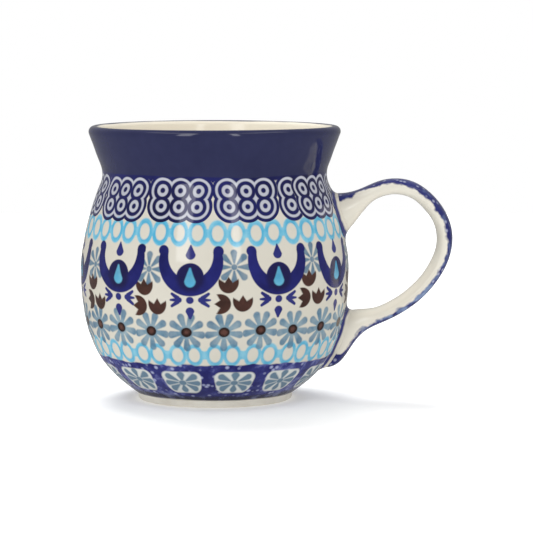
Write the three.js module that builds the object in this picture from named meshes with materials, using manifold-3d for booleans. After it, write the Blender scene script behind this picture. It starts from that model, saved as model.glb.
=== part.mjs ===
// A bellied stoneware mug with a flared collar and an ear handle, in millimetres, +Z up.
//
// The mug is the four pieces of clay that a potter joins before the firing: the turned body, the handle
// from its own mould, and the two pads of slip that lute the handle's roots to the body.
// The handle reaches out along +X, and Y = 0 is the plane of symmetry. The origin lies on the table,
// under the middle of the overall width, so the body's own axis stands at a negative X.

import * as THREE from "three";
import { mergeVertices } from "three/addons/utils/BufferGeometryUtils.js";
import Module from "manifold-3d";

// ---- Driving dimensions ----

// Body
const HEIGHT = 94; // table to the crest of the lip
const RIM_RADIUS = 43.3; // outside of the lip
const COLLAR_HEIGHT = 16.7; // neck to the crest of the lip
const NECK_RADIUS = 38; // where the shoulder's line and the collar's line cross
const NECK_BEND = 3.3; // each way from that corner, rounded off
const SHOULDER_SLOPE = 22.5; // degrees from upright, where the shoulder runs into the neck
const BELLY_RADIUS = 46.2;
const BELLY_HEIGHT = 45; // of the widest circle above the table
const BOWL_SLOPE = 36; // degrees above level, where the bowl leaves the foot
const WALL = 4; // thickness of the wall and of the lip
const FLOOR = 4.4; // thickness of the floor

// Foot ring
const FOOT_RADIUS = 26.5;
const FOOT_HEIGHT = 2.2;
const FOOT_WIDTH = 3.9; // outer to inner edge of the ring
const FOOT_CHAMFER = 0.5;
const RECESS = 1.6; // depth of the hollow underneath

// Handle
const REACH = 35.2; // belly to the outermost point of the strap's back
const CROWN_DROP = 1.8; // neck down to the highest point of the strap
const TAIL_HEIGHT = 10.5; // table to the tip of the tail, where the strap ends on the wall
const STRAP_THICKNESS = 5.4;
const STRAP_WIDTH = 13;
const UPPER_ROOT_DEPTH = 16; // the strap's thickness where it leaves the wall
const UPPER_ROOT_WIDTH = 17;
const UPPER_FLARE = 11.3; // length over which the upper root swells
const HEEL = 18.6; // tip of the tail to where the underside of the strap meets the wall
const HEEL_DEPTH = 11.5; // the strap's thickness at the heel
const HEEL_WIDTH = 16.5;
const HEEL_FLARE = 10.8; // length over which the heel swells, each way

// Slip pads
const SLIP_THICKNESS = 0.8;
const SLIP_BEAD = 1.2; // how far the squeezed slip stands out round a root
const CONTACT_GAP = 0.3; // between two pieces that are stuck together

// Fineness of the facets
const BODY_SEGMENTS = 64;
const SECTION_POINTS = 20;
const STRAP_STEPS = 60;

// ---- Solids: closed three.js geometries in and out of manifold-3d ----

const wasm = await Module();
wasm.setup();

function toSolid(geometry) {
  const bare = geometry.clone().deleteAttribute("normal").deleteAttribute("uv");
  const merged = mergeVertices(bare, 1e-3);
  return new wasm.Manifold(
    new wasm.Mesh({
      numProp: 3,
      vertProperties: merged.attributes.position.array,
      triVerts: new Uint32Array(merged.index.array),
    }),
  );
}

function toGeometry(solid) {
  const mesh = solid.getMesh();
  const geometry = new THREE.BufferGeometry();
  geometry.setAttribute("position", new THREE.BufferAttribute(mesh.vertProperties, 3));
  geometry.setIndex(new THREE.BufferAttribute(mesh.triVerts, 1));
  geometry.computeVertexNormals();
  return geometry;
}

// ---- The body's profile: x is the radius and y is the height ----

const degrees = THREE.MathUtils.degToRad;
const NECK_HEIGHT = HEIGHT - COLLAR_HEIGHT;
const LIP_RADIUS = WALL / 2;
const lipCentre = new THREE.Vector2(RIM_RADIUS - LIP_RADIUS, HEIGHT - LIP_RADIUS);
const neckCorner = new THREE.Vector2(NECK_RADIUS, NECK_HEIGHT);

// The collar's straight line leaves the neck's corner and touches the round of the lip.
function collarAngle() {
  const toLip = lipCentre.clone().sub(neckCorner);
  return Math.atan2(toLip.y, toLip.x) - Math.asin(LIP_RADIUS / toLip.length());
}

// The outside of the wall, from the foot ring up to where the lip begins.
function wallPath() {
  const slope = degrees(BOWL_SLOPE);
  const lean = degrees(SHOULDER_SLOPE);
  const collar = collarAngle();
  const belly = new THREE.Vector2(BELLY_RADIUS, BELLY_HEIGHT);
  const bowlStart = new THREE.Vector2(FOOT_RADIUS + 0.6, FOOT_HEIGHT + 0.3);
  const bowlPull = 0.28 * BELLY_HEIGHT;
  const bendStart = new THREE.Vector2(Math.sin(lean), -Math.cos(lean))
    .multiplyScalar(NECK_BEND / Math.cos(lean))
    .add(neckCorner);
  const bendEnd = new THREE.Vector2(Math.cos(collar), Math.sin(collar))
    .multiplyScalar(NECK_BEND / Math.sin(collar))
    .add(neckCorner);
  const shoulderRise = bendStart.y - BELLY_HEIGHT;

  const path = new THREE.Path();
  path.moveTo(bowlStart.x, bowlStart.y);
  path.bezierCurveTo(
    bowlStart.x + bowlPull * Math.cos(slope),
    bowlStart.y + bowlPull * Math.sin(slope),
    belly.x,
    belly.y - 0.62 * BELLY_HEIGHT,
    belly.x,
    belly.y,
  );
  path.bezierCurveTo(
    belly.x,
    belly.y + 0.2 * shoulderRise,
    bendStart.x + 0.4 * shoulderRise * Math.tan(lean),
    bendStart.y - 0.4 * shoulderRise,
    bendStart.x,
    bendStart.y,
  );
  path.quadraticCurveTo(neckCorner.x, neckCorner.y, bendEnd.x, bendEnd.y);
  path.lineTo(
    lipCentre.x + LIP_RADIUS * Math.sin(collar),
    lipCentre.y - LIP_RADIUS * Math.cos(collar),
  );
  return path;
}

// Points along the wall's path, moved sideways by distance: out of the clay if positive, inwards if negative.
// steps gives the number of chords on each stretch of the path: bowl, shoulder, neck and collar.
function wallPoints(distance, steps = [11, 8, 4, 1]) {
  const points = [];
  wallPath().curves.forEach((curve, stretch) => {
    const first = stretch === 0 ? 0 : 1;
    for (let i = first; i <= steps[stretch]; i++) {
      const t = i / steps[stretch];
      const tangent = curve.getTangent(t);
      points.push(
        curve.getPoint(t).add(new THREE.Vector2(tangent.y, -tangent.x).multiplyScalar(distance)),
      );
    }
  });
  return points;
}

// The round of the lip, over the crest from the outside to the inside.
function lipPoints(steps = 7) {
  const start = collarAngle() - Math.PI / 2;
  const points = [];
  for (let i = 1; i < steps; i++) {
    const angle = start + (Math.PI * i) / steps;
    points.push(
      new THREE.Vector2(Math.cos(angle), Math.sin(angle)).multiplyScalar(LIP_RADIUS).add(lipCentre),
    );
  }
  return points;
}

// The inside of the wall from the lip down, rounded into the floor.
function hollowPoints() {
  const floorTop = RECESS + FLOOR;
  const round = 1.2 * WALL;
  const inner = wallPoints(-WALL).filter((p) => p.y > floorTop + round);
  const low = inner[0];
  const next = inner[1];
  const steepness = (next.x - low.x) / (next.y - low.y);
  const corner = new THREE.Vector2(low.x - steepness * (low.y - floorTop), floorTop);
  const landing = new THREE.Vector2(corner.x - round, floorTop);
  const fillet = new THREE.QuadraticBezierCurve(low, corner, landing);
  return [...inner.reverse(), ...fillet.getPoints(4).slice(1), new THREE.Vector2(0, floorTop)];
}

// The foot ring and the hollow under it, from the axis outwards.
function footPoints() {
  const inner = FOOT_RADIUS - FOOT_WIDTH;
  return [
    new THREE.Vector2(0, RECESS),
    new THREE.Vector2(inner - FOOT_CHAMFER, RECESS),
    new THREE.Vector2(inner, RECESS / 2),
    new THREE.Vector2(inner + FOOT_CHAMFER, 0),
    new THREE.Vector2(FOOT_RADIUS - FOOT_CHAMFER, 0),
    new THREE.Vector2(FOOT_RADIUS, FOOT_CHAMFER),
    new THREE.Vector2(FOOT_RADIUS + 0.2, FOOT_HEIGHT),
  ];
}

// A profile turned about Z.
function turned(points) {
  return new THREE.LatheGeometry(points, BODY_SEGMENTS).rotateX(Math.PI / 2);
}

function bodyGeometry() {
  return turned([...footPoints(), ...wallPoints(0), ...lipPoints(), ...hollowPoints()]);
}

// A plain solid that fills the body to distance outside its wall. It trims what is stuck on the body.
function bodyFilledTo(distance) {
  const skin = wallPoints(distance);
  const bottom = new THREE.Vector2(0, skin[0].y - WALL);
  const top = new THREE.Vector2(0, HEIGHT);
  return toSolid(turned([bottom, new THREE.Vector2(skin[0].x, bottom.y), ...skin, top]));
}

// ---- The handle ----

const outside = wallPoints(0, [40, 40, 12, 4]);

// The body's radius at a height.
function skinRadius(height) {
  const above = outside.findIndex((p) => p.y > height);
  const low = outside[above - 1];
  const high = outside[above];
  return THREE.MathUtils.mapLinear(height, low.y, high.y, low.x, high.x);
}

// The strap's back in the plane Y = 0, from inside the upper wall, over the crown and down to the tail.
function strapBack() {
  const crownHeight = NECK_HEIGHT - CROWN_DROP;
  const heightAt = (share) => THREE.MathUtils.lerp(TAIL_HEIGHT, crownHeight, share);
  const offWall = (distance, share) => {
    const height = heightAt(share);
    return new THREE.Vector3(skinRadius(height) + distance, 0, height);
  };
  const offBelly = (reachShare, share) =>
    new THREE.Vector3(BELLY_RADIUS + reachShare * REACH, 0, heightAt(share));
  const points = [
    offWall(-WALL, 0.928),
    offWall(3, 0.926),
    offBelly(0.106, 0.9465), // upper arm
    offBelly(0.344, 1), // crown
    offBelly(0.673, 0.977), // upper bow
    offBelly(0.968, 0.797),
    offBelly(1, 0.623), // outermost point
    offBelly(0.88, 0.478),
    offBelly(0.77, 0.4025), // lower bow
    offBelly(0.546, 0.301),
    offBelly(0.178, 0.2025), // lower arm
    offWall(7, 0.183), // heel
    offWall(5.2, 0.0135), // tail
    offWall(4.2, 0),
    offWall(-WALL / 2, 0),
  ];
  return new THREE.CatmullRomCurve3(points, false, "centripetal");
}

// How much of a swelling is left at a distance from its middle.
function flareShare(distance, length) {
  return 1 - THREE.MathUtils.smoothstep(Math.abs(distance), 0, length);
}

// Sections square to the strap's back. A margin makes the strap bigger all round.
function strapSections(margin = 0) {
  const back = strapBack();
  const length = back.getLength();
  const sections = [];
  for (let i = 0; i <= STRAP_STEPS; i++) {
    const u = i / STRAP_STEPS;
    const tangent = back.getTangentAt(u);
    const inwards = new THREE.Vector3(tangent.z, 0, -tangent.x);
    const root = flareShare(Math.max(u * length - WALL, 0), UPPER_FLARE);
    const heel = flareShare((1 - u) * length - HEEL, HEEL_FLARE);
    const thickness =
      STRAP_THICKNESS +
      root * (UPPER_ROOT_DEPTH - STRAP_THICKNESS) +
      heel * (HEEL_DEPTH - STRAP_THICKNESS);
    const width =
      STRAP_WIDTH +
      root * (UPPER_ROOT_WIDTH - STRAP_WIDTH) +
      heel * (HEEL_WIDTH - STRAP_WIDTH);
    sections.push({
      centre: back.getPointAt(u).addScaledVector(inwards, thickness / 2),
      across: inwards,
      halfThickness: thickness / 2 + margin,
      halfWidth: width / 2 + margin,
    });
  }
  return sections;
}

// An oval section with slightly squared shoulders: an exponent of 2 would be an ellipse.
function sectionPoint(angle, halfThickness, halfWidth) {
  const squareness = 2 / 2.3;
  const swell = (value) => Math.sign(value) * Math.abs(value) ** squareness;
  return [halfThickness * swell(Math.cos(angle)), halfWidth * swell(Math.sin(angle))];
}

// A closed solid through sections.
function loft(sections) {
  const positions = [];
  const index = [];
  for (const { centre, across, halfThickness, halfWidth } of sections) {
    for (let k = 0; k < SECTION_POINTS; k++) {
      const angle = (2 * Math.PI * k) / SECTION_POINTS;
      const [a, b] = sectionPoint(angle, halfThickness, halfWidth);
      positions.push(centre.x + across.x * a, b, centre.z + across.z * a);
    }
  }
  const last = sections.length - 1;
  for (let i = 0; i < last; i++) {
    for (let k = 0; k < SECTION_POINTS; k++) {
      const next = (k + 1) % SECTION_POINTS;
      const a = i * SECTION_POINTS + k;
      const b = i * SECTION_POINTS + next;
      index.push(a, b, b + SECTION_POINTS, a, b + SECTION_POINTS, a + SECTION_POINTS);
    }
  }
  for (let k = 1; k < SECTION_POINTS - 1; k++) {
    const end = last * SECTION_POINTS;
    index.push(0, k + 1, k, end, end + k, end + k + 1);
  }
  const geometry = new THREE.BufferGeometry();
  geometry.setAttribute("position", new THREE.Float32BufferAttribute(positions, 3));
  geometry.setIndex(index);
  return geometry;
}

// The handle stands clear of the wall by a slip pad and the gap on either side of it.
function handleGeometry() {
  const clearance = CONTACT_GAP + SLIP_THICKNESS + CONTACT_GAP;
  return toGeometry(toSolid(loft(strapSections())).subtract(bodyFilledTo(clearance)));
}

// ---- The slip pads ----

// A pad lies on the wall under one end of the strap, with a bead of squeezed slip all round the print.
function padGeometry(sections) {
  const print = toSolid(loft(sections));
  const layer = print.intersect(bodyFilledTo(CONTACT_GAP + SLIP_THICKNESS));
  return toGeometry(layer.subtract(bodyFilledTo(CONTACT_GAP)));
}

const beadSections = strapSections(SLIP_BEAD);
const halfway = Math.floor(beadSections.length / 2);

// ---- The mug ----

const patternedGlaze = new THREE.MeshStandardMaterial({ color: "#59658f", roughness: 0.12, metalness: 0 });
const creamGlaze = new THREE.MeshStandardMaterial({ color: "#dcd8cb", roughness: 0.12, metalness: 0 });
const slipGlaze = new THREE.MeshStandardMaterial({ color: "#33386e", roughness: 0.15, metalness: 0 });

function piece(name, geometry, material) {
  const mesh = new THREE.Mesh(geometry, material);
  mesh.name = name;
  return mesh;
}

const mug = new THREE.Group();
mug.add(
  piece("mug_body", bodyGeometry(), patternedGlaze),
  piece("handle", handleGeometry(), creamGlaze),
  piece("upper_slip_joint", padGeometry(beadSections.slice(0, halfway)), slipGlaze),
  piece("lower_slip_joint", padGeometry(beadSections.slice(halfway)), slipGlaze),
);

// The origin goes under the middle of the overall width.
const extent = new THREE.Box3().setFromObject(mug, true);
mug.position.x = -(extent.min.x + extent.max.x) / 2;

export default mug;
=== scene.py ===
"""A bellied stoneware mug with stamped folk bands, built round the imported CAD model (+Z up).

The wall, the strap handle and the two slip fillets are fine meshes on the CAD model's own curves.
The stamps are drawn by shader nodes from the angle round the mug and the height above the table.
Shapes and patterns are worked out in mm about the mug's own axis. The scene is in metres.
"""

import math

import bmesh
import bpy
import numpy as np
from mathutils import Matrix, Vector


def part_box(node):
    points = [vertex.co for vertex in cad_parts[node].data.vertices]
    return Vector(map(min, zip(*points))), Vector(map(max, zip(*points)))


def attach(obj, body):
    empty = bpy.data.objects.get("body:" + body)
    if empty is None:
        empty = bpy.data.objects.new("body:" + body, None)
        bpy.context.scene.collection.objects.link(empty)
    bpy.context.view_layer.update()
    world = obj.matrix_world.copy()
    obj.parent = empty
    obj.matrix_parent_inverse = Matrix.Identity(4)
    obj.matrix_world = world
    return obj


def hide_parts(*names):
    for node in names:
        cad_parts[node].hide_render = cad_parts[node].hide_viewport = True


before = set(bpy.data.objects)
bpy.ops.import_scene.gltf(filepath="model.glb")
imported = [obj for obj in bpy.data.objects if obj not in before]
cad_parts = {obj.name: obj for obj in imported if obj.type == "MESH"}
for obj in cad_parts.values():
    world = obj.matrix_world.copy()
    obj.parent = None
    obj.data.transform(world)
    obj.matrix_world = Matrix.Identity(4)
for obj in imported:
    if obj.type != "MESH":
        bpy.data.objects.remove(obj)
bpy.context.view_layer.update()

MM = 0.001
DEGREE = 180 / math.pi  # degrees in a radian

# ---- Sizes of the CAD model (mm) ----

HEIGHT = 94.0
RIM_RADIUS = 43.3
COLLAR_HEIGHT = 16.7
NECK_RADIUS = 38.0
NECK_BEND = 3.3
SHOULDER_SLOPE = math.radians(22.5)
BELLY_RADIUS = 46.2
BELLY_HEIGHT = 45.0
BOWL_SLOPE = math.radians(36.0)
WALL = 4.0
FLOOR = 4.4
FOOT_RADIUS = 26.5
FOOT_HEIGHT = 2.2
FOOT_WIDTH = 3.9
RECESS = 1.6
REACH = 35.2
CROWN_DROP = 1.8
TAIL_HEIGHT = 10.5
STRAP_THICKNESS = 5.4
STRAP_WIDTH = 13.0
UPPER_ROOT_DEPTH = 16.0
UPPER_ROOT_WIDTH = 17.0
UPPER_FLARE = 11.3
HEEL = 18.6
HEEL_DEPTH = 11.5
HEEL_WIDTH = 16.5
HEEL_FLARE = 10.8
SQUARENESS = 2.3

# ---- Details of the meshes (mm) ----

TURNS = 288  # columns of the body's mesh
LIP_POINTS = 15
KNOT_STEPS = 40  # points between two knots of the strap's back
KINK_LENGTH = 4.2  # the spread of the smoothing along the strap
ROOT_SINK = 1.6  # how deep the ends of the strap stand in the wall
FILLET_SIZE = 1.5
FILLET_STATIONS = 96
FILLET_STEPS = 8

# The bake layout of the body, out of 1: the lower edge and the height of each strip.
FRONT_STRIP = (0.06, 0.42)
BACK_STRIP = (0.5, 0.42)
INSIDE_STRIP = (0.935, 0.06)
FOOT_STRIP = (0.005, 0.045)
STRIP_MARGIN = 0.004

NECK_HEIGHT = HEIGHT - COLLAR_HEIGHT
LIP_RADIUS = WALL / 2
body_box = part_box("mug_body")
AXIS_X = (body_box[0][0] + body_box[1][0]) / 2 / MM


def bezier(points, count):
    """Points on a Bezier curve, without its first point."""
    curve = []
    for i in range(1, count + 1):
        t = i / count
        layer = [np.array(p, float) for p in points]
        while len(layer) > 1:
            layer = [a + (b - a) * t for a, b in zip(layer, layer[1:])]
        curve.append(layer[0])
    return curve


def wall_points(counts=(70, 52, 16, 14)):
    """The outside of the wall from the foot up to the lip, as (radius, height).

    Also the collar's slope and the middle of the lip's rounding.
    """
    lip = np.array([RIM_RADIUS - LIP_RADIUS, HEIGHT - LIP_RADIUS])
    neck = np.array([NECK_RADIUS, NECK_HEIGHT])
    to_lip = lip - neck
    collar = math.atan2(to_lip[1], to_lip[0]) - math.asin(LIP_RADIUS / np.hypot(*to_lip))
    start = np.array([FOOT_RADIUS + 0.6, FOOT_HEIGHT + 0.3])
    pull = 0.28 * BELLY_HEIGHT
    bend_start = neck + np.array([math.sin(SHOULDER_SLOPE), -math.cos(SHOULDER_SLOPE)]) * (
        NECK_BEND / math.cos(SHOULDER_SLOPE)
    )
    bend_end = neck + np.array([math.cos(collar), math.sin(collar)]) * NECK_BEND / math.sin(collar)
    rise = bend_start[1] - BELLY_HEIGHT
    points = [start]
    points += bezier(
        [
            start,
            start + pull * np.array([math.cos(BOWL_SLOPE), math.sin(BOWL_SLOPE)]),
            (BELLY_RADIUS, 0.38 * BELLY_HEIGHT),
            (BELLY_RADIUS, BELLY_HEIGHT),
        ],
        counts[0],
    )
    points += bezier(
        [
            (BELLY_RADIUS, BELLY_HEIGHT),
            (BELLY_RADIUS, BELLY_HEIGHT + 0.2 * rise),
            (bend_start[0] + 0.4 * rise * math.tan(SHOULDER_SLOPE), bend_start[1] - 0.4 * rise),
            bend_start,
        ],
        counts[1],
    )
    points += bezier([bend_start, neck, bend_end], counts[2])
    touch = lip + LIP_RADIUS * np.array([math.sin(collar), -math.cos(collar)])
    points += bezier([bend_end, touch], counts[3])
    return np.array(points), collar, lip


WALL_LINE, COLLAR_ANGLE, LIP_CENTRE = wall_points()


def offset_line(line, distance):
    """A line moved sideways: out of the clay if positive."""
    along = np.gradient(line, axis=0)
    along /= np.hypot(along[:, 0], along[:, 1])[:, None]
    return line + distance * np.stack([along[:, 1], -along[:, 0]], 1)


def skin_radius(height):
    """The radius of the wall's outside."""
    return np.interp(height, WALL_LINE[:, 1], WALL_LINE[:, 0])


def body_profile():
    """The turned profile, from the middle of the underside, over the lip, to the floor's middle.

    Also the numbers of the first point of the wall and of the crest of the lip.
    """
    inner = FOOT_RADIUS - FOOT_WIDTH
    foot = [
        (0, RECESS + 0.15),
        (8, RECESS + 0.12),
        (16, RECESS + 0.05),
        (inner - 1.4, RECESS),
        (inner - 0.5, RECESS - 0.12),
        (inner - 0.05, RECESS * 0.62),
        (inner + 0.2, RECESS * 0.25),
        (inner + 0.6, 0.04),
        (inner + 1.0, 0),
        (FOOT_RADIUS - 1.0, 0),
        (FOOT_RADIUS - 0.5, 0.05),
        (FOOT_RADIUS - 0.14, 0.26),
        (FOOT_RADIUS, 0.62),
        (FOOT_RADIUS + 0.08, 1.3),
        (FOOT_RADIUS + 0.2, 2.0),
        (FOOT_RADIUS + 0.36, FOOT_HEIGHT + 0.16),
    ]
    quarter = math.pi / 2
    angles = np.linspace(COLLAR_ANGLE - quarter, COLLAR_ANGLE + quarter, LIP_POINTS + 2)[1:-1]
    lip = LIP_CENTRE + LIP_RADIUS * np.stack([np.cos(angles), np.sin(angles)], 1)
    floor_top = RECESS + FLOOR
    lining = offset_line(wall_points((34, 26, 10, 8))[0], -WALL)
    lining = lining[lining[:, 1] > floor_top + 4.8][::-1]
    low = lining[-1]
    lean = (lining[-2][0] - low[0]) / (lining[-2][1] - low[1])
    corner = np.array([low[0] - lean * (low[1] - floor_top), floor_top])
    fillet = bezier([low, corner, corner - (5.5, 0)], 8)
    rest = [(corner[0] - 5.5 - k * (corner[0] - 5.5) / 4, floor_top) for k in (1, 2, 3, 4)]
    profile = np.array(foot + list(WALL_LINE) + list(lip) + list(lining) + fillet + rest)
    profile[-1, 0] = 0
    return profile, len(foot), len(foot) + len(WALL_LINE) + (LIP_POINTS + 1) // 2


# ---- Meshes ----


def new_piece(name, vertices, faces, smooth=True):
    mesh = bpy.data.meshes.new(name)
    mesh.from_pydata([tuple(v) for v in vertices], [], [tuple(f) for f in faces])
    mesh.validate()
    piece = bpy.data.objects.new(name, mesh)
    bpy.context.collection.objects.link(piece)
    mesh.polygons.foreach_set("use_smooth", [smooth] * len(mesh.polygons))
    tidy = bmesh.new()
    tidy.from_mesh(mesh)
    bmesh.ops.recalc_face_normals(tidy, faces=tidy.faces)
    tidy.to_mesh(mesh)
    tidy.free()
    return piece


def add_values(piece, name, values):
    layer = piece.data.attributes.new(name, "FLOAT", "POINT")
    layer.data.foreach_set("value", np.asarray(values, np.float32))


def wobble(angle, height):
    """How far the hand-turned wall strays from a true circle, in mm."""
    return (
        0.10 * np.sin(2 * angle + 0.6 + height * 0.012)
        + 0.05 * np.sin(3 * angle + 2.1 - height * 0.02)
        + 0.035 * np.sin(5 * angle + 0.4 + height * 0.05)
        + 0.03 * np.sin(height * 0.55 + 0.8 * np.sin(angle + 1.0))
        + 0.02 * np.sin(height * 1.15 + 1.2 * np.sin(angle - 0.7))
    )


def build_body():
    """The turned body, and the distance up its wall to the crest of the lip."""
    profile, wall_start, crest = body_profile()
    gaps = np.hypot(*np.diff(profile, axis=0).T)
    run = np.concatenate([[0], np.cumsum(gaps)])
    run -= run[wall_start]
    # Angle 0 faces -Y, and it grows towards +X. The first column is at -90 degrees.
    angle = -math.pi / 2 + 2 * math.pi * np.arange(TURNS) / TURNS
    vertices = []
    runs = []
    for j in range(1, len(profile) - 1):
        radius, height = profile[j]
        # the foot stays true, so that the mug stands flat, and the lip waves a little
        share = min(max((height - 3) / 12, 0), 1)
        spread = radius + share * wobble(angle, height)
        lift = 0.09 * np.sin(2 * angle + 1.0) * max(0, (height - 80) / 14)
        for a, s, h in zip(angle, spread, height + lift):
            vertices.append(((AXIS_X + s * math.sin(a)) * MM, -s * math.cos(a) * MM, h * MM))
            runs.append(run[j])
    rings = len(profile) - 2
    faces = []
    for j in range(rings - 1):
        for i in range(TURNS):
            n = (i + 1) % TURNS
            faces.append((j * TURNS + i, j * TURNS + n, (j + 1) * TURNS + n, (j + 1) * TURNS + i))
    for j, end in ((1, 0), (rings, len(profile) - 1)):
        centre = len(vertices)
        vertices.append((AXIS_X * MM, 0, profile[end][1] * MM))
        runs.append(run[end])
        row = (j - 1) * TURNS
        for i in range(TURNS):
            n = (i + 1) % TURNS
            faces.append((centre, row + n, row + i) if end == 0 else (centre, row + i, row + n))
    piece = new_piece("stamped_body", vertices, faces)
    add_values(piece, "run", runs)
    lay_out_body(piece, np.array(runs), run, wall_start, crest)
    return piece, run[crest]


def lay_out_body(piece, runs, run, wall_start, crest):
    """The bake layout: the wall in two long strips, the inside and the foot in narrow ones."""
    mesh = piece.data
    layer = mesh.uv_layers.new(name="OFBake")
    low, high, last, first = run[wall_start] - 1.0, run[crest] + 3.0, run[-1], run[0]
    loops = np.zeros(len(mesh.loops), np.int64)
    mesh.loops.foreach_get("vertex_index", loops)
    uv = np.zeros((len(mesh.loops), 2))
    for face in mesh.polygons:
        ids = loops[face.loop_start : face.loop_start + face.loop_total]
        level = runs[ids]
        capped = ids >= TURNS * ((len(mesh.vertices) - 2) // TURNS)
        column = (ids % TURNS).astype(float)
        known = column[~capped]
        if known.max() - known.min() > TURNS / 2:
            column[column < TURNS / 2] += TURNS
            known = column[~capped]
        if capped.any():
            column[capped] = known.mean()
        share = column / TURNS
        middle = level.mean()
        if low <= middle <= high:
            back = known.mean() >= TURNS / 2
            across = (share - (0.5 if back else 0)) * 2
            start, tall = BACK_STRIP if back else FRONT_STRIP
            up = start + tall * (level - low) / (high - low)
        elif middle > high:
            across = share
            start, tall = INSIDE_STRIP
            up = start + tall * (level - high) / (last - high)
        else:
            across = share
            start, tall = FOOT_STRIP
            up = start + tall * (level - first) / (low - first)
        for k in range(face.loop_total):
            u = STRIP_MARGIN + (1 - 2 * STRIP_MARGIN) * across[k]
            uv[face.loop_start + k] = (u, min(max(up[k], 0.002), 0.998))
    layer.data.foreach_set("uv", uv.astype(np.float32).ravel())


# ---- The handle ----


def strap_back():
    """The line of the strap's back, as the CAD model draws it, and the length up to each point."""
    crown = NECK_HEIGHT - CROWN_DROP

    def at(share):
        return TAIL_HEIGHT + (crown - TAIL_HEIGHT) * share

    def off_wall(distance, share):
        return (skin_radius(at(share)) + distance, at(share))

    def off_belly(reach, share):
        return (BELLY_RADIUS + reach * REACH, at(share))

    knots = [
        off_wall(-WALL, 0.928),
        off_wall(3, 0.926),
        off_belly(0.106, 0.9465),
        off_belly(0.344, 1),
        off_belly(0.673, 0.977),
        off_belly(0.968, 0.797),
        off_belly(1, 0.623),
        off_belly(0.88, 0.478),
        off_belly(0.77, 0.4025),
        off_belly(0.546, 0.301),
        off_belly(0.178, 0.2025),
        off_wall(7, 0.183),
        off_wall(5.2, 0.0135),
        off_wall(4.2, 0),
        off_wall(-WALL / 2, 0),
    ]
    knots = [np.array(k, float) for k in knots]
    knots = [2 * knots[0] - knots[1]] + knots + [2 * knots[-1] - knots[-2]]
    dense = []
    for p0, p1, p2, p3 in zip(knots, knots[1:], knots[2:], knots[3:]):
        d0, d1, d2 = (math.sqrt(np.hypot(*(b - a))) for a, b in ((p0, p1), (p1, p2), (p2, p3)))
        m1 = ((p1 - p0) / d0 - (p2 - p0) / (d0 + d1) + (p2 - p1) / d1) * d1
        m2 = ((p2 - p1) / d1 - (p3 - p1) / (d1 + d2) + (p3 - p2) / d2) * d1
        for t in np.arange(0, 1, 1 / KNOT_STEPS):
            dense.append(
                (2 * t**3 - 3 * t**2 + 1) * p1
                + (t**3 - 2 * t**2 + t) * m1
                + (-2 * t**3 + 3 * t**2) * p2
                + (t**3 - t**2) * m2
            )
    dense.append(knots[-2])
    dense = np.array(dense)
    length = np.concatenate([[0], np.cumsum(np.hypot(*np.diff(dense, axis=0).T))])
    return dense, length


def ease(x):
    """0 below 0, 1 above 1, and a smooth step between."""
    x = np.clip(x, 0, 1)
    return x * x * (3 - 2 * x)


def smoothed(values, spread):
    """Values along the strap with their small kinks taken out. spread is in samples."""
    reach = int(4 * spread)
    weights = np.exp(-0.5 * (np.arange(-reach, reach + 1) / spread) ** 2)
    weights /= weights.sum()

    def pass_over(line):
        head = 2 * line[0] - line[reach:0:-1]
        tail = 2 * line[-1] - line[-2 : -reach - 2 : -1]
        return np.convolve(np.concatenate([head, line, tail]), weights, "valid")

    once = pass_over(values)
    return once + pass_over(values - once)


def strap_sections(count=181):
    """Sections square to the strap's back, from its upper end to its lower one.

    For each: how far along it stands, its centre, the directions along the strap and into the
    loop, and half its thickness and width.
    """
    dense, length = strap_back()
    total = length[-1]
    at = np.linspace(0, total, count)
    spread = KINK_LENGTH * count / total
    back = np.stack([smoothed(np.interp(at, length, dense[:, k]), spread) for k in (0, 1)], 1)
    tangent = np.gradient(back, axis=0)
    tangent /= np.hypot(*tangent.T)[:, None]
    inwards = np.stack([tangent[:, 1], -tangent[:, 0]], 1)
    root = 1 - ease(np.maximum(at - WALL, 0) / UPPER_FLARE)
    heel = 1 - ease(np.abs(total - at - HEEL) / HEEL_FLARE)
    thickness = (
        STRAP_THICKNESS
        + root * (UPPER_ROOT_DEPTH - STRAP_THICKNESS)
        + heel * (HEEL_DEPTH - STRAP_THICKNESS)
    )
    width = (
        STRAP_WIDTH
        + root * (UPPER_ROOT_WIDTH - STRAP_WIDTH)
        + heel * (HEEL_WIDTH - STRAP_WIDTH)
    )
    front = back + inwards * thickness[:, None]
    front = np.stack([smoothed(front[:, k], spread * 0.75) for k in (0, 1)], 1)
    across = front - back
    thickness = np.hypot(*across.T)
    inwards = across / thickness[:, None]
    tangent = np.stack([-inwards[:, 1], inwards[:, 0]], 1)
    return at, (front + back) / 2, tangent, inwards, thickness / 2, width / 2


def section_point(angle, half_thickness, half_width):
    """A point of the rounded section, as distances into the loop and to the side."""

    def swell(value):
        return np.sign(value) * np.abs(value) ** (2 / SQUARENESS)

    return half_thickness * swell(np.cos(angle)), half_width * swell(np.sin(angle))


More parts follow.
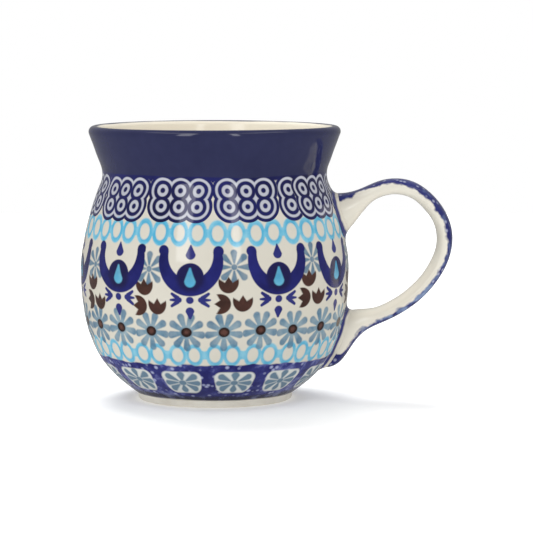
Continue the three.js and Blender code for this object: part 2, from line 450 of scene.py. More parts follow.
def build_handle():
    """The strap. Its values are the distance along it and the angle round it from its back."""
    at, centre, _, inwards, half_thickness, half_width = strap_sections()
    around = 56
    angle = 2 * math.pi * np.arange(around) / around
    vertices = []
    along = []
    turned = []
    for i in range(len(at)):
        a, b = section_point(angle, half_thickness[i], half_width[i])
        # a hand-pressed strap: its faces and edges wander by a few tenths of a millimetre
        uneven = 0.012 * np.sin(at[i] * 0.21 + angle) + 0.008 * np.sin(at[i] * 0.47 + 2.0 * angle)
        a = a * (1 + uneven)
        b = b + 0.12 * math.sin(at[i] * 0.11 + 1.0)
        x = centre[i, 0] + inwards[i, 0] * a
        z = centre[i, 1] + inwards[i, 1] * a
        # its ends stop inside the wall
        shortest = skin_radius(np.clip(z, 3, 90)) - ROOT_SINK
        push = np.maximum(shortest / np.maximum(np.hypot(x, b), 1e-6), 1)
        for vx, vy, vz in zip(x * push, b * push, z):
            vertices.append(((AXIS_X + vx) * MM, vy * MM, vz * MM))
        along += [at[i]] * around
        turned += list(np.degrees(np.abs(np.where(angle > math.pi, angle - 2 * math.pi, angle))))
    faces = []
    rows = len(at)
    for i in range(rows - 1):
        row, next_row = i * around, (i + 1) * around
        for k in range(around):
            n = (k + 1) % around
            faces.append((row + k, row + n, next_row + n, next_row + k))
    faces.append(tuple(range(around))[::-1])
    faces.append(tuple((rows - 1) * around + k for k in range(around)))
    piece = new_piece("strap_handle", vertices, faces)
    add_values(piece, "along", along)
    add_values(piece, "turned", turned)
    return piece


def strap_value(points):
    """Below 0 inside the strap, above 0 outside it, for points (x, y, z) about the mug's axis."""
    _, centre, tangent, inwards, half_thickness, half_width = strap_sections(361)
    values = []
    for x, y, z in points:
        gap = np.array([x, z]) - centre
        ahead = np.abs((gap * tangent).sum(1))
        distance = np.hypot(*gap.T)
        k = np.argmin(ahead + 0.15 * distance)
        a = (gap[k] * inwards[k]).sum()
        values.append(
            (abs(a) / half_thickness[k]) ** SQUARENESS + (abs(y) / half_width[k]) ** SQUARENESS - 1
        )
    return np.array(values)


def wall_point(side, height, lift):
    """A point lift mm off the wall, and side mm round the wall from the handle's middle."""
    radius = skin_radius(height)
    slope = (skin_radius(height + 0.4) - skin_radius(height - 0.4)) / 0.8
    tilt = 1 / math.hypot(1, slope)
    turn = side / radius
    reach = radius + lift * tilt
    return np.array([reach * math.cos(turn), reach * math.sin(turn), height - lift * tilt * slope])


def root_outline(centre_height, lifts, headings):
    """How far from the root's middle the strap's surface stands lift mm off the wall."""
    step = 0.2
    reaches = np.arange(2.0, 16.0, step)
    found = []
    for heading, lift in zip(headings, lifts):
        points = [
            wall_point(r * math.sin(heading), centre_height + r * math.cos(heading), lift)
            for r in reaches
        ]
        values = strap_value(points)
        outside = np.nonzero(values > 0)[0]
        k = outside[0] if len(outside) else len(reaches) - 1
        before, after = values[k - 1], values[k]
        share = before / (before - after) if k and after > before else 0
        found.append(reaches[k - 1] + step * min(max(share, 0), 1) if k else reaches[0])
    found = np.array(found)
    for _ in range(2):
        found = (np.roll(found, 1) + 2 * found + np.roll(found, -1)) / 4
    return found


def build_fillet(name, centre_height, towards, extra):
    """The slip squeezed out round a root and wiped to a hollow fillet.

    It is fuller towards the finger loop, which is above the root for towards = 1 and below it
    for -1. Its value is the share of its height.
    """
    headings = 2 * math.pi * np.arange(FILLET_STATIONS) / FILLET_STATIONS
    fullness = FILLET_SIZE * (1 + extra * np.maximum(towards * np.cos(headings), 0) ** 3)
    foot = root_outline(centre_height, 0 * fullness, headings)
    top = root_outline(centre_height, fullness, headings)
    shares = np.linspace(0, 1, FILLET_STEPS)
    vertices = []
    height_share = []
    for heading, r0, r1, spread in zip(headings, foot, top, fullness):
        s, c = math.sin(heading), math.cos(heading)

        def place(reach, lift):
            return wall_point(reach * s, centre_height + reach * c, lift)

        swell = 1 + 0.12 * math.sin(3 * heading + 1) + 0.08 * math.sin(7 * heading)
        edge = place(r0 + spread * swell, -0.06)
        corner = place(r0 + 0.25, 0.12)
        peak = place(r1 - 0.06, spread)
        section = [(1 - t) ** 2 * edge + 2 * t * (1 - t) * corner + t * t * peak for t in shares]
        section.append(place(r1 - 1.0, spread - 0.3))
        section.append(place(r0 - 1.0, -0.8))
        section.append(place(r0 + 0.6 * spread, -0.8))
        height_share += list(shares) + [1, 0, 0]
        vertices += [((AXIS_X + p[0]) * MM, p[1] * MM, p[2] * MM) for p in section]
    count = FILLET_STEPS + 3
    faces = []
    for i in range(FILLET_STATIONS):
        n = (i + 1) % FILLET_STATIONS
        for k in range(count):
            m = (k + 1) % count
            faces.append((i * count + k, n * count + k, n * count + m, i * count + m))
    piece = new_piece(name, vertices, faces)
    add_values(piece, "rise", height_share)
    return piece


# ---- Arithmetic with shader nodes ----

tree = None  # the node tree of the material being made
place_vector = None  # its output with the place on the object, in metres


class Field:
    """A number that varies over the surface: the output of a shader node."""

    def __init__(self, socket):
        self.socket = socket

    def __add__(self, other):
        return maths("ADD", self, other)

    def __sub__(self, other):
        return maths("SUBTRACT", self, other)

    def __mul__(self, other):
        return maths("MULTIPLY", self, other)

    def __truediv__(self, other):
        return maths("DIVIDE", self, other)

    def __radd__(self, other):
        return maths("ADD", other, self)

    def __rsub__(self, other):
        return maths("SUBTRACT", other, self)

    def __rmul__(self, other):
        return maths("MULTIPLY", other, self)

    def __neg__(self):
        return maths("MULTIPLY", self, -1.0)


def feed(socket, value):
    if isinstance(value, Field):
        tree.links.new(value.socket, socket)
    else:
        socket.default_value = value


def maths(operation, *values, clamp=False):
    node = tree.nodes.new("ShaderNodeMath")
    node.operation = operation
    node.use_clamp = clamp
    for socket, value in zip(node.inputs, values):
        feed(socket, value)
    return Field(node.outputs[0])


def fold(operation, values):
    result = values[0]
    for value in values[1:]:
        result = maths(operation, result, value)
    return result


def least(*values):
    return fold("MINIMUM", values)


def most(*values):
    return fold("MAXIMUM", values)


def size(x):
    return maths("ABSOLUTE", x)


def nearest(x):
    return maths("ROUND", x)


def lower(x):
    return maths("FLOOR", x)


def above(x, limit):
    return maths("GREATER_THAN", x, limit)


def clamp(x):
    return maths("ADD", x, 0.0, clamp=True)


def sine(x):
    return maths("SINE", x)


def cosine(x):
    return maths("COSINE", x)


def direction(x, y):
    """Degrees from up, positive to the right."""
    return maths("ARCTAN2", x, y) * DEGREE


def between(a, b, share):
    return a + (b - a) * share


def hypot(x, y):
    pack = tree.nodes.new("ShaderNodeCombineXYZ")
    feed(pack.inputs[0], x)
    feed(pack.inputs[1], y)
    node = tree.nodes.new("ShaderNodeVectorMath")
    node.operation = "LENGTH"
    tree.links.new(pack.outputs[0], node.inputs[0])
    return Field(node.outputs["Value"])


def graph(x, points):
    """A line through points, as y over x."""
    xs = [p[0] for p in points]
    ys = [p[1] for p in points]
    x0, x1, y0, y1 = min(xs), max(xs), min(ys), max(ys)
    node = tree.nodes.new("ShaderNodeFloatCurve")
    line = node.mapping.curves[0]
    while len(line.points) < len(points):
        line.points.new(0.5, 0.5)
    for point, px, py in zip(line.points, xs, ys):
        point.location = ((px - x0) / (x1 - x0), (py - y0) / (y1 - y0))
        point.handle_type = "VECTOR"
    node.mapping.update()
    feed(node.inputs["Value"], (x - x0) * (1 / (x1 - x0)))
    return Field(node.outputs[0]) * (y1 - y0) + y0


def noise(scale_mm, seed, detail=1.0, roughness=0.5):
    """Soft noise about 0, mostly within 0.5 either way, with lumps of about scale_mm.

    Each seed is another slice along the fourth axis.
    """
    node = tree.nodes.new("ShaderNodeTexNoise")
    node.noise_dimensions = "4D"
    tree.links.new(place_vector, node.inputs["Vector"])
    node.inputs["W"].default_value = seed * 7.31
    node.inputs["Scale"].default_value = 500 / scale_mm
    node.inputs["Detail"].default_value = detail
    node.inputs["Roughness"].default_value = roughness
    return (Field(node.outputs[0]) - 0.5) * 2.0


def dice(index, seed):
    """A number from 0 to 1 that belongs to a whole number."""
    node = tree.nodes.new("ShaderNodeTexWhiteNoise")
    node.noise_dimensions = "1D"
    feed(node.inputs["W"], index * 1.37 + seed * 3.17)
    return Field(node.outputs["Value"])


def linear(code):
    """The linear RGB of a screen colour such as #d9d8cb."""
    values = [int(code[k : k + 2], 16) / 255 for k in (1, 3, 5)]
    return tuple(v / 12.92 if v <= 0.04045 else ((v + 0.055) / 1.055) ** 2.4 for v in values)


def colour(code):
    return linear(code) + (1.0,)


def paint(under, over, mask):
    """One colour over another, as far as the mask says."""
    node = tree.nodes.new("ShaderNodeMix")
    node.data_type = "RGBA"
    feed(node.inputs["Factor"], mask)
    for name, value in (("A", under), ("B", over)):
        socket = [s for s in node.inputs if s.name == name and s.type == "RGBA"][0]
        if isinstance(value, str):
            socket.default_value = colour(value)
        else:
            tree.links.new(value.socket, socket)
    return Field([s for s in node.outputs if s.type == "RGBA"][0])


# ---- The stamped pattern ----
# theta is the angle round the mug in degrees: 0 faces -Y, 90 faces +X. z is the height and r the
# radius, in mm. A shape gives a distance in mm, below 0 inside it.
#
# The stamps on the photographed side stand at their own angles, read from the photograph, and on
# the other side they go on at even steps. The garland has its place from there, but not its shape.

INK_EDGE = 0.16

EYE_STEP = 31.65  # degrees between two blocks of ringed dots, on the unseen side
EYE_SPACING = 6.25
EYE_RADIUS = 5.3
GARLAND_STEP = 36.2
GROUP_STEP = 36.34
DAISY_STEP = 16.3
WINDOWS = 13
BAND_RADIUS = 35  # of the sponged band, halfway up
EYES_FROM, EYES_TO = 62.5, 80.0

# Where each pair of ovals and each daisy stands, as (angle, number).
UPPER_CHAIN = [
    (-180, -6.905), (-61, 0), (-44.75, 1), (-28.5, 2), (-11.9, 3), (5.1, 4), (21.9, 5),
    (39.65, 6), (57.75, 7), (180, 14.095),
]
LOWER_CHAIN = [
    (-180, -7.73), (-48.25, 0), (-30.75, 1), (-13.15, 2), (3.85, 3), (21, 4), (39.05, 5),
    (180, 13.27),
]
DAISIES = [
    (-180, -7.287), (-60, 0), (-44.5, 1), (-28.5, 2), (-12.3, 3), (3.8, 4), (19.6, 5), (35, 6),
    (52, 7), (69.5, 8), (180, 14.713),
]


def inside(distance, edge=INK_EDGE):
    """1 inside a shape and 0 outside it, with a soft edge."""
    return clamp(0.5 - distance * (0.5 / edge))


def ring(d, low, high, edge=INK_EDGE):
    return inside(most(low - d, d - high), edge)


def round_wall(angle, r):
    """The distance round the wall, in mm."""
    return angle * r * (1 / DEGREE)


def wrapped(theta, start):
    """The same angle, from start to start + 360."""
    return theta - lower((theta - start) * (1 / 360)) * 360


def steps(x, first, *jumps):
    """first, plus each jump from its threshold on."""
    total = first
    for limit, jump in jumps:
        total = above(x, limit) * jump + total
    return total


def drop(x, y, x0, y0, r0, x1, y1, r1):
    """A round stroke from one point to another, whose radius changes on the way."""
    dx, dy = x1 - x0, y1 - y0
    span = dx * dx + dy * dy
    px = x - x0
    py = y - y0
    t = clamp(px * (dx / span) + py * (dy / span))
    return hypot(px - t * dx, py - t * dy) - (t * (r1 - r0) + r0)


def oval(x, y, a, b):
    return (hypot(x * (1 / a), y * (1 / b)) - 1) * min(a, b)


def petals(x, y, count, start, near, near_radius, far, far_radius):
    """Round-ended petals about a middle. start is the direction of one of them."""
    turn = direction(x, y)
    rho = hypot(x, y)
    step = 360 / count
    off = turn - (nearest((turn - start) * (1 / step)) * step + start)
    a = rho * sine(off * (1 / DEGREE))
    b = rho * cosine(off * (1 / DEGREE))
    return drop(a, b, 0.0, near, near_radius, 0.0, far, far_radius), rho


def tulip(x, y):
    """A cup with three points, opening towards +y."""
    side = size(x)
    cut = most(2.85 - side * 1.55, side * 0.6 + 0.15)
    return most(oval(x, y - 1.0, 3.35, 3.72), (y - cut) * 0.55)


def eye_band(theta, z, r):
    """Rows of ringed dots, in blocks of three by two, and one pair on its own.

    Gives the blue, and the whole stamps with the paler blue between their rings.
    """
    phi = wrapped(theta, -65.3)
    far = most(nearest((phi - 57.3) * (1 / EYE_STEP)), 0.0) * EYE_STEP + 57.3
    centre = steps(phi, -49.5, (-33.35, 32.3), (-1.0, 32.3))
    centre = between(centre, far, above(phi, 36.2))
    middle = steps(phi, 70.85, (-33.35, 0.35), (-1.0, 0.25), (36.2, -0.25))
    x = round_wall(phi - centre, r)
    column = most(least(nearest(x * (1 / EYE_SPACING)), 1.0), -1.0)
    d = hypot(x - column * EYE_SPACING, size(z - middle) - 2.55)
    lone = hypot(round_wall(phi - 38.3, r), size(z - 71.3) - 2.5)
    d = between(lone, d, inside(d - EYE_RADIUS, 0.02))
    top = inside(77.0 - z - d * 0.02, 0.4) * (1 - inside(d - 4.3))
    blue = most(inside(d - 0.88), ring(d, 1.98, 3.28), ring(d, 4.15, EYE_RADIUS), top)
    return blue, inside(d - EYE_RADIUS)


def ring_row(theta, z, r, places, period, half_gap, middle, a, b, stroke):
    """Ovals in pairs, joined into a chain by wide dabs.

    Gives the chain, the distance from the hole of the nearest oval, and the pair's number.
    """
    n = graph(theta, places)
    i = nearest(n)
    x = round_wall((n - i) * period, r)
    y = z - middle
    one = oval(size(x) - half_gap, y, a, b)
    gap = period * r * (0.5 / DEGREE) - size(x)
    bridge = most(size(y) - 1.45 - gap * gap * 0.3, gap - 1.5)
    waist = most(size(y) - 1.45 - x * x * 0.3, size(x) - 1.5)
    outer = least(one - stroke, bridge, waist)
    return most(outer, -one), one, i


def swag(theta, z, r):
    """A plain mirrored garland: a crescent with round ends, and a disc with a drop on it.

    Gives all the blue, the small marks round it, the disc and the drop.
    """
    phi = wrapped(theta, -64.8)
    far = lower((phi - 41.8) * (1 / GARLAND_STEP)) * GARLAND_STEP + 62.0
    centre = steps(phi, -44.6, (-30.7, 34.1), (6.8, 37.5))
    centre = between(centre, far, above(phi, 41.8))
    x = round_wall(phi - centre, r)
    side = size(x)
    bow = size(hypot(x, z - 52.0) - 9.2) - 1.3 - (55.0 - z) * 0.115
    crescent = most(bow, z - 54.3)
    knob = hypot(side - 9.3, z - 54.5) - 1.75
    disc = hypot(x, z - 45.8) - 4.7
    bud = drop(x, z, 0.0, 53.3, 1.7, 0.0, 56.2, 0.3)
    dot = oval(x, z - 38.4, 1.3, 1.2)
    tail = drop(x, z, 0.0, 34.6, 1.5, 0.0, 32.6, 0.5)
    up = size(z - 38.5)
    sprig = least(
        drop(side, up, 3.6, 0.0, 0.9, 6.7, 0.0, 0.35),
        drop(side, up, 4.2, 0.6, 0.8, 6.2, 2.0, 0.5),
    )
    sky = drop(x, z, 0.0, 44.6, 1.9, 0.0, 48.6, 0.35)
    return least(crescent, knob, disc), least(bud, dot, tail, sprig), disc, sky


def flower_group(theta, z, r):
    """A daisy and three tulips in the gap between two garlands."""
    phi = wrapped(theta, -79.6)
    far = nearest((phi - 44.1) * (1 / GROUP_STEP)) * GROUP_STEP + 44.1
    centre = steps(phi, -61.5, (-44.6, 32.5), (-10.5, 36.2))
    centre = between(centre, far, above(phi, 26.0))
    shift = steps(phi, -0.2, (-44.6, 0.2), (-10.5, 1.1), (26.0, 1.1), (62.3, -1.4))
    x = round_wall(phi - centre, r)
    y = z - shift
    daisy, rho = petals(x - 0.35, y - 48.3, 8, 0.0, 1.4, 0.34, 4.65, 1.12)
    daisy = least(daisy, rho - 1.05)
    brown = least(
        tulip(x + 1.5, y - 42.35),
        tulip(y - 36.1, -3.35 - x),
        tulip(x - 3.3, y - 36.1),
    )
    return daisy, brown


def daisy_row(theta, z, r):
    """Daisies side by side. Gives the petals, the eye and the distance from the middle."""
    n = graph(theta, DAISIES)
    i = nearest(n)
    x = round_wall((n - i) * DAISY_STEP, r)
    y = z - 27.9 - (dice(i, 3) - 0.5) * 0.5
    flower, rho = petals(x, y, 9, 20.0, 2.0, 0.7, 5.35, 1.25)
    eye = oval(x, y, 1.9, 1.68)
    return least(flower, rho - 2.5), eye, rho


def sponge_windows(theta, z):
    """Cream windows in the band at the foot, and a many-petalled flower in each."""
    n = (theta - 10.1) * (WINDOWS / 360)
    i = nearest(n)
    x = (n - i) * (360 / WINDOWS * BAND_RADIUS / DEGREE)
    y = z - 9.4 - (dice(i, 8) - 0.5) * 0.5
    side = size(x)
    wx = most(side - (3.75 + y * 0.14), 0.0)
    wy = most(size(y) - 1.5, 0.0)
    window = hypot(wx, wy) - 2.45
    flower = least(
        drop(side, y, 0.0, 1.2, 0.5, 0.0, 2.75, 1.25),
        drop(side, y, 0.0, -1.2, 0.45, 0.0, -2.5, 1.25),
        drop(side, y, 1.4, 0.7, 0.3, 4.1, 2.2, 1.15),
        drop(side, y, 1.6, -0.05, 0.3, 5.0, -0.2, 0.98),
        drop(side, y, 1.3, -0.8, 0.3, 3.8, -2.2, 1.1),
        oval(x, y + 0.1, 1.4, 0.95),
    )
    return window, flower


def flecks(spacing, radius):
    """Small flecks where the sponge left the clay bare."""
    node = tree.nodes.new("ShaderNodeTexVoronoi")
    tree.links.new(place_vector, node.inputs["Vector"])
    node.inputs["Scale"].default_value = 1000 / spacing
    return Field(node.outputs["Distance"]) * spacing - radius


def decorate(theta, z, r, run):
    """The colour of the wall. run is the distance up the wall and over the lip."""
    # stamps and brush lines wander a little
    drift = noise(15.0, 1) * 0.55 + noise(3.2, 2) * 0.16
    theta = theta + drift / r * DEGREE - 1.3
    z = z + noise(15.0, 3) * 0.5 + noise(3.2, 4) * 0.14 - 0.2
    pool = noise(9.0, 5, 2.0)
    grain = noise(1.5, 6, 2.0)
    sheet = noise(30.0, 7, 2.0)
    clay = paint("#d6d2c6", "#cec9bb", clamp(sheet * 1.2 + 0.5))
    clay = paint(clay, "#c4bfae", clamp(grain * 1.2 - 0.45))

    # turquoise chains
    chain, one, i = ring_row(theta, z, r, UPPER_CHAIN, 17.1, 3.16, 60.25, 1.95, 2.62, 1.3)
    tint = clamp(0.85 - one * 0.55 + grain * 1.1 + dice(i, 1) * 0.3)
    turquoise = paint("#82c4da", "#42a9cf", tint)
    clay = paint(clay, turquoise, inside(chain, 0.22) * 0.96)
    chain, one, i = ring_row(theta, z, r, LOWER_CHAIN, 17.14, 2.86, 19.6, 1.9, 2.5, 1.1)
    tint = clamp(0.8 - one * 0.55 + grain * 1.1 + dice(i, 2) * 0.3)
    turquoise = paint("#80c0d6", "#49a8cc", tint)
    clay = paint(clay, turquoise, inside(chain, 0.22) * 0.95)

    # grey-blue daisies
    flower, eye, rho = daisy_row(theta, z, r)
    tint = clamp(rho * 0.12 + pool * 0.9 + grain * 0.5)
    petal = paint("#7a9bac", "#456e8a", tint)
    clay = paint(clay, petal, inside(flower, 0.24) * clamp(0.88 + grain * 0.25))
    daisy, brown = flower_group(theta, z, r)
    clay = paint(clay, petal, inside(daisy, 0.24) * clamp(0.86 + grain * 0.25))

    # brown eyes and tulips
    umber = paint("#5a3a32", "#24130f", clamp(eye * 1.2 + 1.55 + grain))
    clay = paint(clay, umber, inside(eye, 0.2))
    earth = paint("#4f3028", "#36211b", clamp(0.5 + pool * 0.8 + grain * 0.8))
    clay = paint(clay, earth, inside(brown))

    # garland, darker on its disc, and a turquoise drop that is thinnest halfway up
    blue, small, disc, bead = swag(theta, z, r)
    pale = clamp(0.45 + pool * 1.1 + grain * 0.5)
    cobalt = paint("#0b0d4c", "#1e2270", pale)
    cobalt = paint(cobalt, "#120e36", inside(disc, 0.8) * 0.7)
    clay = paint(clay, cobalt, inside(blue))
    clay = paint(clay, paint("#1c1e66", "#2f347a", pale), inside(small))
    aqua = paint("#7cc3d9", "#41a6d0", clamp(0.5 + pool + grain * 0.5 - bead * 0.1))
    thick = inside(-most(50.4 - z, z - 42.2), 9.0)
    clay = paint(clay, aqua, inside(bead, 0.25) * thick)

    # ringed dots
    ink = paint("#090b3c", "#1b1f60", pale)
    blue, stamp = eye_band(theta, z, r)
    here = above(z, EYES_FROM) * (1 - above(z, EYES_TO))
    clay = paint(clay, "#a4adcc", stamp * here * 0.55)
    clay = paint(clay, ink, blue * here)

    # sponged band, with a dark line at the foot
    window, flower = sponge_windows(theta, z)
    top = z - 16.15 - noise(3.6, 9, 2.0) * 1.7
    band = most(top, 2.55 + noise(9.0, 10) * 0.35 - z)
    sponge = paint("#1b1c60", "#3a4088", clamp(0.4 + pool * 1.1 + grain * 1.3))
    sponge = paint(sponge, "#a9afd2", inside(flecks(2.9, 0.62), 0.3) * 0.9)
    line = most(z - 4.25 - noise(8.0, 11) * 0.6, 2.0 - z)
    sponge = paint(sponge, "#15143a", inside(line, 0.5))
    worn = inside(0.36 - pool * 0.6 - grain, 0.25)
    sponge = paint(sponge, "#8e96c0", worn * 0.5)
    glass = paint("#d5d7d2", "#5a788e", inside(flower, 0.26) * 0.95)
    sponge = paint(sponge, glass, inside(window, 0.25))
    clay = paint(clay, sponge, inside(band, 0.22))

    # collar, up to the crest of the lip
    edge = 78.35 + noise(9.0, 12) * 0.45 - z
    edge = most(edge, run - LIP_RUN - 1.2 - noise(7.0, 13) * 0.8)
    navy = paint("#242749", "#2b2e51", clamp(0.4 + pool * 0.8 + grain * 0.4))
    return paint(clay, navy, inside(edge, 0.25))


# ---- Materials ----

GLAZE_IOR = 1.5


def start_material(name):
    """A new material, with only the place on the object in it. The shader is added at the end."""
    global tree, place_vector
    material = bpy.data.materials.new(name)
    material.use_nodes = True
    tree = material.node_tree
    tree.nodes.clear()
    place = tree.nodes.new("ShaderNodeTexCoord")
    place_vector = place.outputs["Object"]
    return material


def finish_material(material, base, roughness, height, bump_mm):
    """Puts the glaze's shader on: colour, roughness, and a relief of bump_mm times height."""
    shader = tree.nodes.new("ShaderNodeBsdfPrincipled")
    tree.links.new(base.socket, shader.inputs["Base Color"])
    feed(shader.inputs["Roughness"], roughness)
    shader.inputs["IOR"].default_value = GLAZE_IOR
    bump = tree.nodes.new("ShaderNodeBump")
    bump.inputs["Distance"].default_value = bump_mm * MM
    bump.inputs["Strength"].default_value = 1.0
    feed(bump.inputs["Height"], height)
    tree.links.new(bump.outputs[0], shader.inputs["Normal"])
    output = tree.nodes.new("ShaderNodeOutputMaterial")
    tree.links.new(shader.outputs[0], output.inputs["Surface"])
    return material


def attribute(name):
    node = tree.nodes.new("ShaderNodeAttribute")
    node.attribute_name = name
    return Field(node.outputs["Fac"])


def body_material():
    """The decorated wall, the cream lining and the bare foot."""
    material = start_material("stamped_glaze")
    parts = tree.nodes.new("ShaderNodeSeparateXYZ")
    tree.links.new(place_vector, parts.inputs[0])
    x = (Field(parts.outputs[0]) - AXIS_X * MM) * (1 / MM)
    y = Field(parts.outputs[1]) * (1 / MM)
    z = Field(parts.outputs[2]) * (1 / MM)
    theta = direction(x, -y)
    r = most(hypot(x, y), 1.0)
    run = attribute("run")
    clay = decorate(theta, z, r, run)
    lining = paint("#f5efdf", "#eee6d5", clamp(0.5 + noise(25.0, 21, 2.0)))
    clay = paint(clay, lining, inside(LIP_RUN + 1.5 + noise(7.0, 22) * 0.7 - run, 0.3))
    foot_line = z - 2.45 - noise(12.0, 23) * 0.4
    bare = inside(foot_line, 0.15)
    biscuit = paint("#efebe0", "#e2dccf", clamp(0.4 + noise(2.2, 24, 3.0) * 1.4))
    clay = paint(clay, biscuit, bare)
    roughness = between(0.09 + noise(8.0, 25) * 0.03, 0.7, bare)
    ripple = noise(6.0, 26) * 0.6 + noise(1.1, 27, 2.0) * between(0.03, 0.5, bare)
    return finish_material(material, clay, roughness, ripple, 0.05)


def handle_material():
    """Cream clay with a cobalt band along the strap's back, with light flecks and dabs."""
    material = start_material("handle_glaze")
    along = attribute("along")
    turned = attribute("turned")
    pool = noise(8.0, 31, 2.0)
    grain = noise(1.8, 32, 2.0)
    clay = paint("#e9e5d8", "#e0d9ca", clamp(0.5 + noise(20.0, 33, 2.0) * 1.3))
    clay = paint(clay, "#bcb5a4", clamp(grain - 0.55))
    # how far round from its back the cobalt reaches, in degrees, over the distance along the strap
    reach = [
        (0, 132), (7, 134), (13, 142), (20, 126), (27, 110), (37, 96), (50, 92), (60, 99),
        (72, 101), (90, 98), (102, 116), (114, 132), (STRAP_LENGTH - 16, 134),
        (STRAP_LENGTH - 12, 104), (STRAP_LENGTH - 8, 10), (STRAP_LENGTH, -60),
    ]
    spine = graph(along, reach)
    edge = (spine - turned) * 0.05 + noise(2.4, 34, 2.0) * 1.1 + noise(1.1, 37) * 0.9
    cobalt = paint("#1a1d60", "#3a407c", clamp(0.4 + pool * 0.9 + grain * 0.9))
    cobalt = paint(cobalt, "#b3b6cc", inside(flecks(2.6, 0.5), 0.3) * 0.8)
    dabs = [(0, 0.42), (60, 0.36), (78, 0.1), (100, 0.1), (112, 0.42), (200, 0.5)]
    dab = graph(along, dabs) - noise(1.9, 38)
    cobalt = paint(cobalt, "#8094b6", inside(dab, 0.2) * 0.8)
    clay = paint(clay, cobalt, inside(edge, 0.35))
    roughness = 0.1 + noise(8.0, 35) * 0.03
    return finish_material(material, clay, roughness, noise(6.0, 36) * 0.6 + grain * 0.03, 0.05)


def joint_material():
    """Cream slip with a cobalt line round the lower part of the fillet."""
    material = start_material("joint_glaze")
    rise = attribute("rise")
    pool = noise(5.0, 41, 2.0)
    line = rise - 0.62 - noise(3.0, 42, 2.0) * 0.25
    cobalt = paint("#262a6c", "#42477f", clamp(0.4 + pool))
    clay = paint("#e5e0d3", "#dbd4c5", clamp(0.5 + noise(12.0, 43, 2.0)))
    clay = paint(clay, cobalt, inside(line, 0.1))
    return finish_material(material, clay, 0.1 + noise(8.0, 44) * 0.03, noise(6.0, 45), 0.04)


# ---- The mug ----

body, LIP_RUN = build_body()
STRAP_LENGTH = float(strap_back()[1][-1])
handle = build_handle()
upper_fillet = build_fillet("upper_root_fillet", centre_height=67.0, towards=-1, extra=0.7)
lower_fillet = build_fillet("lower_root_fillet", centre_height=19.5, towards=1, extra=1.0)

body.data.materials.append(body_material())
handle.data.materials.append(handle_material())
joint = joint_material()
upper_fillet.data.materials.append(joint)
lower_fillet.data.materials.append(joint)

for piece, node, slot in (
    (body, "mug_body", "stamped_glaze"),
    (handle, "handle", "handle_glaze"),
    (upper_fillet, "upper_slip_joint", "joint_glaze"),
    (lower_fillet, "lower_slip_joint", "joint_glaze"),
):
    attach(piece, "root")
    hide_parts(node)

# ---- Floor, lights and camera (metres) ----

STAGE_RADIUS = 0.85
STAGE_CORNERS = 96
LAMPS_AIM = (AXIS_X * MM, 0, 0.05)

# How bright the tent is as a light, as a backdrop, and for what the glaze mirrors.
TENT_LIGHT = 0.54
TENT_SEEN = 1.0
TENT_MIRRORED = 0.28

# The camera was fitted to the lip, the belly and the foot in the photograph.
CAMERA_PLACE = ((AXIS_X + 17.73) * MM, -0.9073, 0.1325)
CAMERA_PITCH = 84.514
CAMERA_LENS = 178.67


def add_floor():
    """A pale disc at the foot's height, which the glaze doesn't mirror."""
    angles = [2 * math.pi * k / STAGE_CORNERS for k in range(STAGE_CORNERS)]
    points = [(STAGE_RADIUS * math.cos(t), STAGE_RADIUS * math.sin(t), 0) for t in angles]
    floor = new_piece("floor", points, [tuple(range(STAGE_CORNERS))], smooth=False)
    floor.visible_glossy = False
    material = bpy.data.materials.new("pale_floor")
    material.use_nodes = True
    shader = material.node_tree.nodes["Principled BSDF"]
    shader.inputs["Base Color"].default_value = (0.84, 0.84, 0.84, 1)
    shader.inputs["Emission Color"].default_value = (1, 1, 1, 1)
    shader.inputs["Emission Strength"].default_value = 0.28
    shader.inputs["Roughness"].default_value = 0.9
    shader.inputs["Specular IOR Level"].default_value = 0.0
    floor.data.materials.append(material)


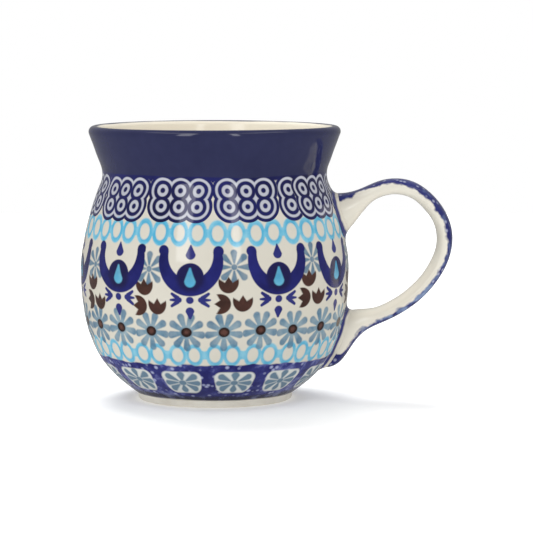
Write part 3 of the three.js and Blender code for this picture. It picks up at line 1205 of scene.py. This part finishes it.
def add_light(name, azimuth, elevation, distance, width, height, power):
    """A soft panel aimed at the mug. Azimuth 0 is the camera's side and 90 the handle's."""
    light = bpy.data.lights.new(name, "AREA")
    light.shape = "RECTANGLE"
    light.size = width
    light.size_y = height
    light.energy = power
    lamp = bpy.data.objects.new(name, light)
    bpy.context.collection.objects.link(lamp)
    a, e = math.radians(azimuth), math.radians(elevation)
    towards = Vector((math.sin(a) * math.cos(e), -math.cos(a) * math.cos(e), math.sin(e)))
    offset = towards * distance
    lamp.location = Vector(LAMPS_AIM) + offset
    lamp.rotation_euler = (-offset).to_track_quat("-Z", "Y").to_euler()
    return lamp


add_floor()
world = bpy.data.worlds.new("white_tent")
bpy.context.scene.world = world
world.use_nodes = True
sky_nodes = world.node_tree
backdrop = sky_nodes.nodes["Background"]
backdrop.inputs["Color"].default_value = (1, 1, 1, 1)
rays = sky_nodes.nodes.new("ShaderNodeLightPath")
level = sky_nodes.nodes.new("ShaderNodeMapRange")
level.inputs["To Min"].default_value = TENT_LIGHT
level.inputs["To Max"].default_value = TENT_SEEN
sky_nodes.links.new(rays.outputs["Is Camera Ray"], level.inputs["Value"])
calm = sky_nodes.nodes.new("ShaderNodeMath")
calm.operation = "MULTIPLY_ADD"
sky_nodes.links.new(rays.outputs["Is Glossy Ray"], calm.inputs[0])
calm.inputs[1].default_value = TENT_MIRRORED - TENT_LIGHT
sky_nodes.links.new(level.outputs["Result"], calm.inputs[2])
sky_nodes.links.new(calm.outputs[0], backdrop.inputs["Strength"])
add_light("left_strip", -27, 32, 1.3, 0.28, 1.0, 2.9)
add_light("right_strip", 20, 30, 1.3, 0.15, 1.0, 1.7)
add_light("left_panel", -58, 58, 1.3, 0.8, 0.34, 1.1)
add_light("right_panel", 66, 58, 1.3, 0.9, 0.34, 1.1)
add_light("back_panel", 194, 60, 1.5, 0.9, 0.8, 20.0).visible_glossy = False

camera = bpy.data.objects.new("camera", bpy.data.cameras.new("camera"))
bpy.context.collection.objects.link(camera)
camera.data.lens = CAMERA_LENS
camera.data.sensor_width = 36
camera.data.clip_end = 50
camera.location = CAMERA_PLACE
camera.rotation_euler = (math.radians(CAMERA_PITCH), 0, 0)
bpy.context.scene.camera = camera
bpy.context.scene.view_settings.view_transform = "Standard"
